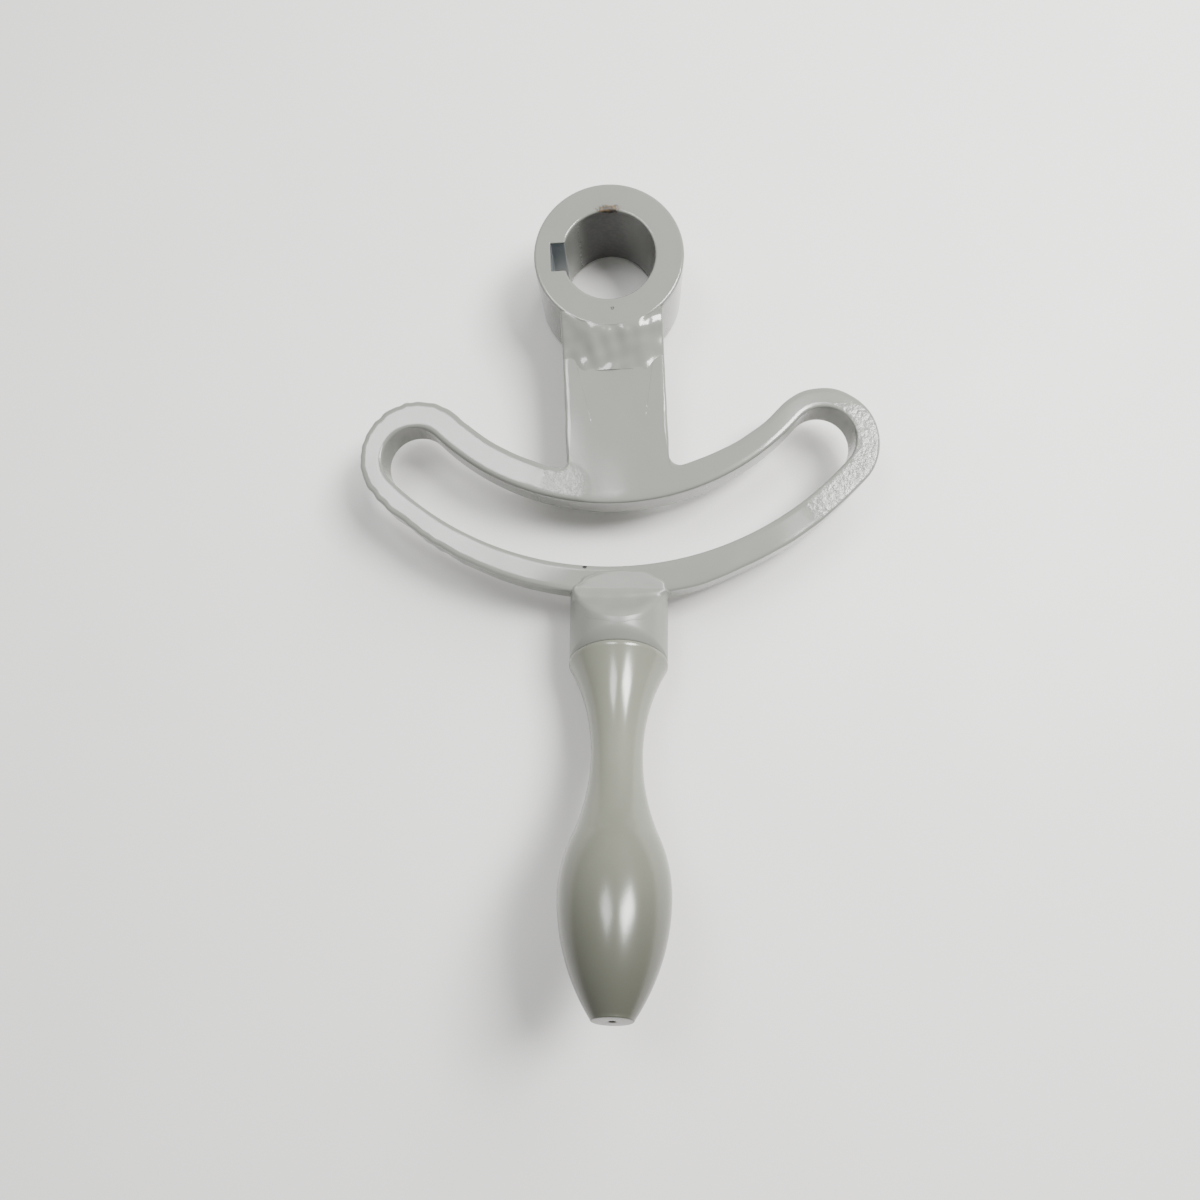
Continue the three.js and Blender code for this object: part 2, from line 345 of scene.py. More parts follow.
class Graph:
    """The node tree of one material, with its surface shader."""

    def __init__(self, name: str) -> None:
        """Makes the material and its Principled shader."""
        self.material = bpy.data.materials.new(name)
        self.material.use_nodes = True
        self.tree = self.material.node_tree
        self.tree.nodes.clear()
        self.shader = self.node("ShaderNodeBsdfPrincipled", {}, {"IOR": 1.6})
        output = self.node("ShaderNodeOutputMaterial", {}, {})
        self.tree.links.new(self.shader.outputs["BSDF"], output.inputs["Surface"])
        self.place = self.node("ShaderNodeTexCoord", {}, {}).outputs["Object"]

    def node(self, kind: str, settings: Mapping[str, Any], inputs: Mapping[Any, Any]) -> bpy.types.Node:
        """Adds a node.

        Args:
            kind: The node's type.
            settings: Its properties, which are set first. A ramp's stops are a list under "stops".
            inputs: Values, sockets or signals for its input sockets, by name or number.

        Returns:
            The node.
        """
        made = self.tree.nodes.new(kind)
        for name, value in settings.items():
            if name == "stops":
                for stop, (position, colour) in zip(self._stops(made, len(value)), value):
                    stop.position, stop.color = position, (*colour, 1.0)
            else:
                setattr(made, name, value)
        self.feed(made, inputs)
        return made

    @staticmethod
    def _stops(ramp: bpy.types.Node, count: int) -> list[Any]:
        """A ramp's stops, with as many added as are needed."""
        elements = ramp.color_ramp.elements
        while len(elements) < count:
            elements.new(1.0)
        return list(elements)

    def feed(self, target: bpy.types.Node, inputs: Mapping[Any, Any]) -> None:
        """Sets or links input sockets of a node, by name or number."""
        for key, value in inputs.items():
            self._fill(target.inputs[key], value)

    def _fill(self, socket: bpy.types.NodeSocket, value: Any) -> None:
        """Links a socket to a signal or to another socket, or sets its value."""
        if isinstance(value, Signal):
            self.tree.links.new(value.socket, socket)
        elif isinstance(value, bpy.types.NodeSocket):
            self.tree.links.new(value, socket)
        else:
            socket.default_value = value

    def signal(
        self, kind: str, settings: Mapping[str, Any], inputs: Mapping[Any, Any], output: Any = 0
    ) -> Signal:
        """Adds a node and returns one of its outputs as a signal."""
        return Signal(self, self.node(kind, settings, inputs).outputs[output])

    def coordinates(self) -> tuple[Signal, Signal, Signal]:
        """X, Y and Z of the surface point in the object's frame, in metres."""
        parts = self.node("ShaderNodeSeparateXYZ", {}, {0: self.place})
        return tuple(Signal(self, parts.outputs[axis]) for axis in ("X", "Y", "Z"))

    def distance(self, point: Sequence[float], stretch: Sequence[float] = (1, 1, 1)) -> Signal:
        """Distance in millimetres from a point given in millimetres, after a stretch of each axis."""
        middle = Vector(point) * MM
        moved = self.node("ShaderNodeVectorMath", {"operation": "SUBTRACT"}, {0: self.place, 1: middle})
        scale = Vector(stretch) / MM
        scaled = self.node("ShaderNodeVectorMath", {"operation": "MULTIPLY"}, {0: moved.outputs[0], 1: scale})
        length = self.node("ShaderNodeVectorMath", {"operation": "LENGTH"}, {0: scaled.outputs[0]})
        return Signal(self, length.outputs["Value"])

    def noise(self, size: float, detail: float = 2.0, roughness: float = 0.5) -> Signal:
        """Noise of about 0 to 1 whose grains are size millimetres wide."""
        inputs = {"Vector": self.place, "Scale": 1 / (size * MM), "Detail": detail, "Roughness": roughness}
        return self.signal("ShaderNodeTexNoise", {}, inputs, "Fac")

    def mix(self, share: Number, first: Any, second: Any) -> bpy.types.NodeSocket:
        """A colour between first and second, which are colours or sockets."""
        inputs = {"Factor": share, "A": self._colour(first), "B": self._colour(second)}
        made = self.tree.nodes.new("ShaderNodeMix")
        made.data_type = "RGBA"
        sockets = {socket.name: socket for socket in made.inputs if socket.enabled}
        for name, value in inputs.items():
            self._fill(sockets[name], value)
        return next(socket for socket in made.outputs if socket.enabled)

    @staticmethod
    def _colour(value: Any) -> Any:
        """A colour with its alpha, or the socket as it is."""
        return value if isinstance(value, (Signal, bpy.types.NodeSocket)) else (*value, 1.0)

    def bump(self, height: Signal, depth: float, under: Any = None) -> bpy.types.NodeSocket:
        """A normal bent by a height of 0 to 1 that stands for depth millimetres, over another normal."""
        inputs = {"Height": height, "Distance": depth * MM, "Strength": 1.0}
        if under is not None:
            inputs["Normal"] = under
        return self.node("ShaderNodeBump", {}, inputs).outputs["Normal"]


# ---- finishes ------------------------------------------------------------------------------------


@dataclass(frozen=True)
class Spot:
    """A small disc of colour in the paint, standing for a mark or for painted shade: where it is, its radius
    and its colour.
    """

    place: tuple[float, float, float]
    radius: float
    colour: Colour = (0.03, 0.03, 0.03)


@dataclass(frozen=True)
class Patch:
    """A stretch of the front face that was pitted before it was painted: its middle, reach and depth."""

    place: tuple[float, float, float]
    reach: float
    depth: float


@dataclass(frozen=True)
class Enamel:
    """Gloss enamel on steel, with its flow, orange peel, marks and any spots of painted shade."""

    name: str
    colour: Colour
    shade: Colour
    gloss: float  # roughness of the smooth paint
    peel: float = 1.6  # width of the orange peel's grains
    peel_depth: float = 0.004
    flow: float = 7.0  # width of the slow waves in the film
    flow_depth: float = 0.02
    spots: tuple[Spot, ...] = ()
    patches: tuple[Patch, ...] = ()

    def paint(self, graph: Graph) -> tuple[Any, Signal, Any]:
        """Colour, roughness and normal of the paint on a graph."""
        cloud = graph.noise(9.0, detail=3.0)
        colour = graph.mix(cloud.step(0.3, 0.7), self.colour, self.shade)
        rough = cloud * 0.06 + (self.gloss - 0.03)
        normal = graph.bump(graph.noise(self.flow, detail=1.0), self.flow_depth)
        normal = graph.bump(graph.noise(self.peel, detail=1.0), self.peel_depth, normal)
        _, _, height = graph.coordinates()
        for patch in self.patches:
            near = graph.distance(patch.place).step(patch.reach, patch.reach * 0.6)
            near = near * height.step((patch.place[2] - 0.6) * MM, (patch.place[2] - 0.1) * MM)
            pits = graph.noise(1.5, detail=4.0, roughness=0.6) * near
            normal = graph.bump(pits, patch.depth, normal)
            rough = rough + near * 0.05
        for spot in self.spots:
            ragged = graph.distance(spot.place) + (graph.noise(0.5) - 0.5) * min(spot.radius, 1.0)
            colour = graph.mix(ragged.step(spot.radius, spot.radius * 0.6), colour, spot.colour)
        return colour, rough, normal

    def material(self) -> bpy.types.Material:
        """The finished material."""
        graph = Graph(self.name)
        colour, rough, normal = self.paint(graph)
        graph.feed(graph.shader, {"Base Color": colour, "Roughness": rough, "Normal": normal})
        return graph.material


@dataclass(frozen=True)
class BoredEnamel(Enamel):
    """The hub's enamel, rubbed off to darkened, lightly rusted steel inside its keyed bore, with a painted
    highlight on the bore's +X side.
    """

    bore_radius: float = 12.5
    key_reach: float = 16.4  # radius that takes in the whole keyway
    hub_front: float = 28.0
    steel: Colour = (0.095, 0.095, 0.092)
    dull_steel: Colour = (0.13, 0.128, 0.12)
    # Painted highlight: lighter steel on the bore's +X side, where its wall catches the light.
    lit_steel: Colour = (0.21, 0.21, 0.20)  # towards +X
    key_steel: Colour = (0.14, 0.17, 0.19)
    rust: Colour = (0.105, 0.070, 0.036)
    old_rust: Colour = (0.035, 0.028, 0.02)

    def material(self) -> bpy.types.Material:
        """The finished material: paint outside, and steel where the radius or the keyway says bore."""
        graph = Graph(self.name)
        colour, rough, normal = self.paint(graph)
        x, y, z = graph.coordinates()
        radius = graph.distance((0, 0, 0), (1, 1, 0))
        grain = graph.noise(1.1, detail=4.0)
        below = z.step((self.hub_front - 0.35) * MM, (self.hub_front - 0.9) * MM)
        wall = (radius + grain * 0.25).step(self.bore_radius + 0.42, self.bore_radius + 0.25)
        key = x.step(-11.6 * MM, -12.0 * MM) * (y * y).step((4.15 * MM) ** 2, (4.05 * MM) ** 2)
        key = key * radius.step(self.key_reach + 0.3, self.key_reach)
        bare = (x + grain * (3.0 * MM)).step(-8.5 * MM, -4.0 * MM)
        steel = wall * bare * below
        slot = key * below
        steel_with_lit_side = graph.mix(grain.step(0.35, 0.75), self.steel, self.dull_steel)
        # Painted highlight: the bore's steel turns lighter towards +X, the side that catches the light.
        steel_with_lit_side = graph.mix(x.step(2.0 * MM, 11.0 * MM), steel_with_lit_side, self.lit_steel)
        colour = graph.mix(steel, colour, steel_with_lit_side)
        colour = graph.mix(slot * 0.9, colour, self.key_steel)
        ragged = (graph.noise(0.8, detail=4.0) - 0.5) * 1.8
        near = graph.distance((0.4, 12.9, self.hub_front), (0.36, 1, 0.8)) + ragged
        stain = near.step(1.35, 0.9)
        rusty = graph.mix(grain.step(0.4, 0.6), self.rust, self.old_rust)
        colour = graph.mix(stain, colour, rusty)
        rough = rough + (steel * 0.3) + (stain * 0.4) + (slot * 0.15)
        metal = steel * 0.35 * (1 - stain)
        inputs = {"Base Color": colour, "Roughness": rough, "Normal": normal, "Metallic": metal}
        graph.feed(graph.shader, inputs)
        return graph.material


@dataclass(frozen=True)
class TipShadedEnamel(Enamel):
    """The handle's enamel, with painted shade that darkens it towards the end."""

    tip_shade: Colour = (0.062, 0.064, 0.050)
    shade_starts: float = -128.0  # Y where the darkening starts
    shade_full: float = -190.0  # Y where it is whole

    def material(self) -> bpy.types.Material:
        """The finished material: paint that turns to the colour of painted shade along the handle."""
        graph = Graph(self.name)
        colour, rough, normal = self.paint(graph)
        _, y, _ = graph.coordinates()
        # Painted shade: the share of the darker colour grows towards the handle's end.
        tip_shade_share = (y + (graph.noise(14.0) - 0.5) * (8.0 * MM)).step(self.shade_starts * MM, self.shade_full * MM)
        colour = graph.mix(tip_shade_share, colour, self.tip_shade)
        graph.feed(graph.shader, {"Base Color": colour, "Roughness": rough + tip_shade_share * 0.06, "Normal": normal})
        return graph.material


@dataclass(frozen=True)
class TableTop:
    """The pale, plain table."""

    colour: Colour = (0.80, 0.79, 0.775)

    def material(self) -> bpy.types.Material:
        """The finished material, faintly clouded."""
        graph = Graph("table_top")
        cloud = graph.noise(60.0, detail=2.0).step(0.3, 0.7)
        colour = graph.mix(cloud, self.colour, tuple(0.975 * part for part in self.colour))
        graph.feed(graph.shader, {"Base Color": colour, "Roughness": cloud * 0.05 + 0.55})
        return graph.material


LEVER = Enamel(
    "lever_enamel", (0.190, 0.195, 0.177), (0.181, 0.186, 0.169), 0.15,
    spots=(
        # A pit drawn only in colour: its painted shade is a dark ring around a less dark middle.
        Spot((0.3, -15.3, 28.0), 0.55, (0.05, 0.05, 0.045)),
        Spot((0.3, -15.3, 28.0), 0.28, (0.15, 0.15, 0.14)),
        Spot((13.7, -15.1, 27.2), 0.7),
        Spot((-10.0, -84.3, 24.0), 0.75),
        Spot((-12.7, -23.6, 26.3), 1.0, (0.07, 0.065, 0.05)),
    ),
    patches=(Patch((61.0, -60.0, 24.0), 19.0, 0.26), Patch((-15.0, -63.0, 24.0), 8.0, 0.12)),
)
BORE = BoredEnamel("hub_enamel", LEVER.colour, LEVER.shade, LEVER.gloss, spots=LEVER.spots)
SOCKET = Enamel("socket_enamel", LEVER.colour, LEVER.shade, 0.36)
HANDLE = TipShadedEnamel(
    "handle_enamel", (0.172, 0.178, 0.143), (0.165, 0.171, 0.137), 0.19, flow_depth=0.01,
    # Painted shade: a dark disc on the handle's end face, which faces away from the light.
    spots=(Spot((-6.46, -190.84, 55.82), 5.0, (0.035, 0.037, 0.030)),),
)


# ---- sub-assemblies ------------------------------------------------------------------------------


@dataclass
class Part:
    """A sub-assembly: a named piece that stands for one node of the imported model."""

    node: str
    slot: str
    finish: Enamel

    def build(self) -> bpy.types.Object:
        """Makes the piece's mesh."""
        raise NotImplementedError

    def dress(self) -> bpy.types.Object:
        """Builds the piece, gives it its finish, hangs it on the root body and hides its node."""
        piece = self.build()
        piece.data.materials.append(self.finish.material())
        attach(piece, "root")
        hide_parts(self.node)
        log.info("%s stands for %s, with %d faces", piece.name, self.node, len(piece.data.polygons))
        return piece


@dataclass
class Hub(Part):
    """The turned ring with its keyed bore."""

    bore_radius: float = 12.5
    key_half: float = 4.0
    key_bottom: float = 15.8
    outer_edge: float = 0.7
    bore_edge: float = 0.6
    key_edge: float = 0.26
    step: float = 0.12

    def outline(self) -> Array:
        """The bore's arc and the keyway's three straight sides, evenly spaced and a little softened."""
        mouth = math.asin(self.key_half / self.bore_radius)
        lip = -self.bore_radius * math.cos(mouth)
        corners = np.vstack([
            arc((0, 0), self.bore_radius, -math.pi + mouth, math.pi - mouth, 400),
            line((lip, self.key_half), (-self.key_bottom, self.key_half), 30),
            line((-self.key_bottom, self.key_half), (-self.key_bottom, -self.key_half), 60),
            line((-self.key_bottom, -self.key_half), (lip, -self.key_half), 30),
        ])
        return smoothed(respaced(corners, self.step), 2)

    def build(self) -> bpy.types.Object:
        """A rimmed slab between the keyed bore and the rim, matched by their angles about the axis."""
        low, high = (np.array(corner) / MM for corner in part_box(self.node))
        radius = (high[0] - low[0]) / 2
        inner = self.outline()
        angle = np.arctan2(inner[:, 1], inner[:, 0])
        outer = radius * np.stack([np.cos(angle), np.sin(angle)], axis=1)
        in_key = ease(-inner[:, 0], 11.2, 11.9)
        edge = self.bore_edge + (self.key_edge - self.bore_edge) * in_key
        slab = RimmedSlab(inner, outer, low[2], high[2], edge, self.outer_edge, face_rows=8)
        return make_skin("keyed_hub", slab.grid(), ring=True)


@dataclass(frozen=True)
class Wing:
    """One end of the quadrant: where its round end is, and how the rails come to it.

    All radii are about the bore's axis. bend is the middle of the round end, in degrees from -Y.
    """

    side: Side
    bend: float
    inner_at_arm: float
    inner_at_bend: float
    outer_at_arm: float
    outer_at_bend: float
    fillet: float

    @property
    def middle(self) -> float:
        """Distance from the bore's axis to the middle of the round end."""
        return (self.inner_at_bend + self.outer_at_bend) / 2

    @property
    def end_radius(self) -> float:
        """Radius of the round end, which joins both rails."""
        return (self.outer_at_bend - self.inner_at_bend) / 2

    def inner(self, angle: Array) -> Array:
        """Radius of the inner rail's edge at an angle in radians, eased from the arm to the bend."""
        share = ease(np.abs(np.degrees(angle)), 14.0, self.bend)
        return self.inner_at_arm + (self.inner_at_bend - self.inner_at_arm) * share

    def outer(self, angle: Array) -> Array:
        """Radius of the outer rail's edge at an angle in radians, eased from the socket to the bend."""
        share = ease(np.abs(np.degrees(angle)), 8.0, self.bend)
        return self.outer_at_arm + (self.outer_at_bend - self.outer_at_arm) * share


@dataclass
class LeverPlate(Part):
    """The flame-cut plate: arm, inner and outer rail, and the round ends between them."""

    slot_inner: float = 67.6
    slot_outer: float = 84.5
    slot_turn: float = 46.2
    arm_half: float = 13.7
    arm_top: float = -14.0
    left: Wing = Wing(Side.LEFT, 45.54, 59.45, 59.5, 91.7, 90.7, 1.6)
    right: Wing = Wing(Side.RIGHT, 45.6, 60.4, 61.7, 91.95, 91.5, 3.0)
    edge: float = 0.75
    swell: float = 0.8  # how far the outer rail stands out beside the socket
    swell_turn: float = 11.0  # degrees from -Y
    swell_width: float = 6.0  # degrees
    ground: float = 0.07  # depth of the short waves that grinding left in the rim's left end
    ground_length: float = 3.2
    wavy: float = 0.04  # depth of the long waves round the rim
    wavy_length: float = 9.0
    face_wave: float = 0.03  # depth of the front face's waves
    face_wave_length: float = 16.0

    def slot_outline(self, counts: Sequence[int]) -> Array:
        """The slot: two arcs about the bore and a half round at each end, in runs of these counts."""
        turn = math.radians(self.slot_turn)
        middle, half = (self.slot_inner + self.slot_outer) / 2, (self.slot_outer - self.slot_inner) / 2
        start = math.radians(self._fillet(self.right)[2])
        stop = math.radians(self._fillet(self.left)[2])
        return np.vstack([
            arc((0, 0), self.slot_outer, -QUARTER - turn, -QUARTER + turn, counts[0]),
            arc(polar(middle, turn), half, turn - QUARTER, turn + QUARTER, counts[1]),
            arc((0, 0), self.slot_inner, turn - QUARTER, start - QUARTER, counts[2]),
            arc((0, 0), self.slot_inner, start - QUARTER, -stop - QUARTER, counts[3]),
            arc((0, 0), self.slot_inner, -stop - QUARTER, -turn - QUARTER, counts[4]),
            arc(polar(middle, -turn), half, QUARTER - turn, 3 * QUARTER - turn, counts[5]),
        ])

    def _fillet(self, wing: Wing) -> tuple[float, float, float]:
        """Middle (x, y) of the fillet on a side, and the angle in degrees at which it leaves the rail."""
        across = self.arm_half + wing.fillet
        reach = wing.inner_at_arm - wing.fillet
        turn = math.asin(across / reach)
        return wing.side.value * across, -reach * math.cos(turn), math.degrees(turn)

    def rim_outline(self, counts: Sequence[int]) -> Array:
        """The rim: outer rail, right end, inner rail, arm, inner rail and left end, in the same runs."""
        turn_left, turn_right = math.radians(self.left.bend), math.radians(self.right.bend)
        x_right, y_right, leave_right = self._fillet(self.right)
        x_left, y_left, leave_left = self._fillet(self.left)
        angle = np.linspace(-turn_left, turn_right, counts[0], endpoint=False)
        radius = np.where(angle < 0, self.left.outer(angle), self.right.outer(angle))
        from_swell = (np.degrees(angle) - self.swell_turn) / self.swell_width
        radius = radius + self.swell * np.exp(-(from_swell**2))
        into = np.linspace(turn_right, math.radians(leave_right), counts[2], endpoint=False)
        out = np.linspace(-math.radians(leave_left), -turn_left, counts[4], endpoint=False)
        bend = counts[3] // 10
        side = (counts[3] - 2 * bend) * 2 // 5
        top = counts[3] - 2 * bend - 2 * side
        return np.vstack([
            polar(radius, angle),
            arc(polar(self.right.middle, turn_right), self.right.end_radius,
                turn_right - QUARTER, turn_right + QUARTER, counts[1]),
            polar(self.right.inner(into), into),
            arc((x_right, y_right), self.right.fillet,
                math.radians(leave_right) - QUARTER, -2 * QUARTER, bend),
            line((self.arm_half, y_right), (self.arm_half, self.arm_top), side),
            line((self.arm_half, self.arm_top), (-self.arm_half, self.arm_top), top),
            line((-self.arm_half, self.arm_top), (-self.arm_half, y_left), side),
            arc((x_left, y_left), self.left.fillet, 0, -math.radians(leave_left) - QUARTER, bend),
            polar(self.left.inner(out), out),
            arc(polar(self.left.middle, -turn_left), self.left.end_radius,
                QUARTER - turn_left, 3 * QUARTER - turn_left, counts[5]),
        ])

    def build(self) -> bpy.types.Object:
        """A rimmed slab between the slot and the hand-ground rim, with a faint waviness on its front."""
        low, high = (np.array(corner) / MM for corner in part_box(self.node))
        counts = (300, 130, 70, 330, 70, 150)
        inner = smoothed(self.slot_outline(counts), 2)
        outer = smoothed(self.rim_outline(counts), 1)
        x, y = outer.T
        ground = self.ground * ripple(x, y, self.ground_length, seed=3) * ease(-x, 36, 46)
        ground = ground + self.wavy * ripple(x, y, self.wavy_length, seed=5)
        outer = outer + outward(outer) * (ground * ease(-y, 24, 30))[:, None]
        lip = ease(-inner[:, 0], 4, 12) * ease(-inner[:, 0], 56, 50) * (np.hypot(*inner.T) < 70)
        lip = smoothed(lip, 6)
        rim = self.edge + 0.15 * ease(-outer[:, 0], 18, 40)
        slab = RimmedSlab(
            inner, outer, low[2], high[2], self.edge + 0.45 * lip, rim, face_rows=22, hold=0.6, sag=0.06
        )
        grid = slab.grid()
        front = ease(grid[..., 2], high[2] - 2, high[2] - 1)
        wave = ripple(grid[..., 0], grid[..., 1], self.face_wave_length, seed=8)
        grid[..., 2] += front * self.face_wave * wave
        return make_skin("arm_and_quadrant", grid, ring=True)


@dataclass(frozen=True)
class BarFrame:
    """The socket's own frame: the seat's middle at its origin, +Y to the plate, +Z to the front."""

    seat: tuple[float, float, float] = (-2.214, -109.84, 18.0)
    lean: float = 3.0  # degrees towards -X
    crank: float = 25.0  # degrees that the handle rises from the bar

    def place(self, points: Array) -> Array:
        """Points of the bar's frame turned by the lean about Z and moved to the seat."""
        turn = math.radians(self.lean)
        across, along, up = points[..., 0], points[..., 1], points[..., 2]
        x = across * math.cos(turn) + along * math.sin(turn)
        y = -across * math.sin(turn) + along * math.cos(turn)
        return np.stack([x + self.seat[0], y + self.seat[1], up + self.seat[2]], axis=-1)

    def handle(self, radius: Array, angle: Array, along: Array) -> Array:
        """Points round the handle's axis, from a radius, an angle about it and a distance from the seat."""
        rise = math.radians(self.crank)
        across, up = radius * np.sin(angle), radius * np.cos(angle)
        y = -along * math.cos(rise) + up * math.sin(rise)
        z = along * math.sin(rise) + up * math.cos(rise)
        return self.place(np.stack([across, y, z], axis=-1))


BAR = BarFrame()


@dataclass
class HandleSocket(Part):
    """The round bar between rail and handle, with its end cut square to the handle."""

    radius: float = 13.0
    rail_edge: float = 18.2  # from the seat
    rail_half: float = 6.0
    slope: float = 50.0
    under: float = 1.0  # depth of the bar below the weld's slope
    side_edge: float = 0.3
    top_edge: float = 1.25
    top_run: float = 3.6

    def build(self) -> bpy.types.Object:
        """Rings along the bar: r = min(R, slope's height / |cos a|), from the slanted seat into the rail."""
        angle = np.linspace(0, 2 * math.pi, 180, endpoint=False)
        seat = np.tan(math.radians(BAR.crank)) * np.cos(angle)
        edge = self.side_edge + (self.top_edge - self.side_edge) * np.cos(angle) ** 2
        inside = self.radius - edge - 0.3
        rows = [(np.full_like(angle, 4.0), seat * 4.0), (inside, seat * inside)]
        run = self.side_edge + (self.top_run - self.side_edge) * np.cos(angle) ** 2
        for turn in np.linspace(0, QUARTER, 12):
            radius = self.radius - edge * (1 - math.sin(turn))
            rows.append((radius, seat * radius + run * turn / QUARTER))
        start = rows[-1][1]
        steep = math.tan(math.radians(self.slope))
        for share in np.linspace(0, 1, 60)[1:]:
            along = start + (self.rail_edge + 2.0 - start) * share
            limit = self.rail_half - self.under + np.maximum(self.rail_edge - along, 0) * steep
            limit = limit / np.maximum(np.abs(np.cos(angle)), 1e-3)
            rows.append((soft_min(np.full_like(angle, self.radius), limit, 0.6), along))
        rows.append((rows[-1][0] * 0.3, rows[-1][1]))
        grid = np.stack([np.stack([r * np.sin(angle), y, r * np.cos(angle)], axis=-1) for r, y in rows])
        return make_skin("socket_bar", BAR.place(grid), ring=False)


@dataclass
class Handle(Part):
    """The turned handle: collar, waist, bulb and a centre-drilled end."""

    length: float = 89.5
    collar: float = 13.1
    collar_width: float = 0.9
    waist: float = 6.55
    waist_place: float = 27.0
    bulb: float = 13.45
    bulb_place: float = 61.5
    end: float = 4.7
    edge: float = 0.45
    drill: float = 0.9

    @staticmethod
    def _curve(run: float, drop: float) -> float:
        """Radius of the curve that leaves level and falls by a drop over a run."""
        return (run * run + drop * drop) / (2 * drop)

    def radius(self, along: Array) -> Array:
        """The profile: a collar, a hollow arc, the bulb's shoulder tangent to it, and a long tip arc.

        Args:
            along: Distances from the seat.

        Returns:
            The radius at each distance.
        """
        hollow = self._curve(self.waist_place - self.collar_width, self.collar - self.waist)
        both = self._curve(self.bulb_place - self.waist_place, self.bulb - self.waist)
        shoulder = both - hollow
        tip = self._curve(self.length - self.bulb_place, self.bulb - self.end)
        meeting = self.waist_place + hollow * (self.bulb_place - self.waist_place) / both
        past_waist, past_bulb = (along - self.waist_place) ** 2, (along - self.bulb_place) ** 2
        from_waist = self.waist + hollow - np.sqrt(np.maximum(hollow**2 - past_waist, 0))
        from_bulb = self.bulb - shoulder + np.sqrt(np.maximum(shoulder**2 - past_bulb, 0))
        from_tip = self.bulb - tip + np.sqrt(np.maximum(tip**2 - past_bulb, 0))
        waisted = np.where(along < meeting, np.minimum(from_waist, self.collar), from_bulb)
        return np.where(along < self.bulb_place, waisted, from_tip)

    def build(self) -> bpy.types.Object:
        """The profile turned about the handle's axis, with rounded ends and a small drilled centre."""
        rounds = np.linspace(0, QUARTER, 7)
        body = np.linspace(self.edge, self.length - self.edge, 170)
        end = float(self.radius(np.array(self.length - self.edge)))
        rise, fall = self.edge * (1 - np.sin(rounds)), self.edge * (1 - np.cos(rounds))
        start = [(3.0, 0.02), (self.collar - self.edge - 0.4, 0.02), *zip(self.collar - rise, 0.02 + fall)]
        tail = [*zip(end - fall, self.length - rise)]
        tail += [(self.drill + 0.6, self.length), (self.drill + 0.1, self.length - 0.02)]
        tail += [(self.drill - 0.05, self.length - 0.15), (0.35, self.length - 1.3)]
        profile = np.array([*start, *zip(self.radius(body)[1:-1], body[1:-1]), *tail])
        angle = np.linspace(0, 2 * math.pi, 200, endpoint=False)
        along = np.broadcast_to(profile[:, 1:], (len(profile), len(angle)))
        grid = BAR.handle(profile[:, :1], angle[None, :], along)
        return make_skin("turned_handle", grid, ring=False)


@dataclass
class SocketWeld(Part):
    """The dressed weld between rail and socket, on one face: a pad on the rail and a slope to the bar."""

    face: Face = Face.FRONT
    middle: tuple[float, float] = (0.6, 17.6)
    toe: float = 6.8
    heel: float = 8.2
    half_width: float = 13.0
    bar_radius: float = 13.0
    rail_half: float = 6.0
    rail_edge: float = 18.2
    rail_radius: float = 91.7
    rail_shift: float = 3.55  # how far the bore's axis lies to the left of the bar's
    slope: float = 50.0
    pad: float = 0.12
    dish: float = 0.35  # hollow of the slope at its middle
    thickness: float = 1.6

    def height(self, x: Array, y: Array) -> Array:
        """Height over the plate's middle: the lower of bar and slope, or the pad on the rail if higher."""
        bar = np.sqrt(np.maximum((self.bar_radius + 0.03) ** 2 - x * x, 0.01))
        dish = self.dish * (1 - (x / self.half_width) ** 2) * ease(y, 10.5, 14.5) * ease(y, 19.5, 16.0)
        slope = self.rail_half + (self.rail_edge - y) * math.tan(math.radians(self.slope)) - dish
        slope = slope + 0.07 * ripple(x * 0.45, y, 3.4, seed=21 + self.face.value)
        upper = soft_min(bar, np.maximum(slope, self.rail_half - 1.5), 2.2)
        edge = self.rail_edge + (x + self.rail_shift) ** 2 / (2 * self.rail_radius)
        pad = self.rail_half + self.pad - 0.8 * np.maximum(edge - 0.4 - y, 0) ** 2
        pad = pad + 0.015 * ripple(x * 0.6, y, 4.0, seed=25 + self.face.value)
        return soft_max(upper, pad, 3.4)

    def build(self) -> bpy.types.Object:
        """A lens over the pad and slope: rings from its middle to its rim and back on the underside.

        A ring's point is the middle plus share * (half width * cos, toe or heel * sin), with both raised
        to the power that squares the oval a little. The rim dips under the bar and the rail.
        """
        angle = np.linspace(0, 2 * math.pi, 180, endpoint=False)
        power = 0.88
        cos = np.sign(np.cos(angle)) * np.abs(np.cos(angle)) ** power
        sin = np.sign(np.sin(angle)) * np.abs(np.sin(angle)) ** power
        shares = np.concatenate([np.linspace(0.03, 0.9, 44), np.linspace(0.915, 1.0, 10)])[:, None]
        deep = np.where(sin > 0, self.toe, self.heel)
        wander = 1 + 0.02 * ripple(12 * cos, 12 * sin, 6.0, seed=31 + self.face.value)
        x = self.middle[0] * ease(sin, -0.3, 0.2) + shares * self.half_width * 0.985 * cos * wander
        y = self.middle[1] + shares * deep * sin * wander
        top = self.height(np.clip(x, -12.85, 12.85), y) - 0.4 * ease(shares, 0.93, 1.0)
        ridge = np.exp(-(((shares - 0.93) / 0.035) ** 2)) * ease(-cos, 0.2, 0.6) * ease(sin, 0.15, 0.4)
        top = top + 0.14 * ridge
        under = top - self.thickness * ease(1 - shares, 0.0, 0.12)
        grid = np.concatenate([
            np.stack([x, y, self.face.value * top], axis=-1),
            np.stack([x, y, self.face.value * under], axis=-1)[-2::-1],
        ])
        return make_skin(f"socket_bead_{self.face.name.lower()}", BAR.place(grid), ring=False)


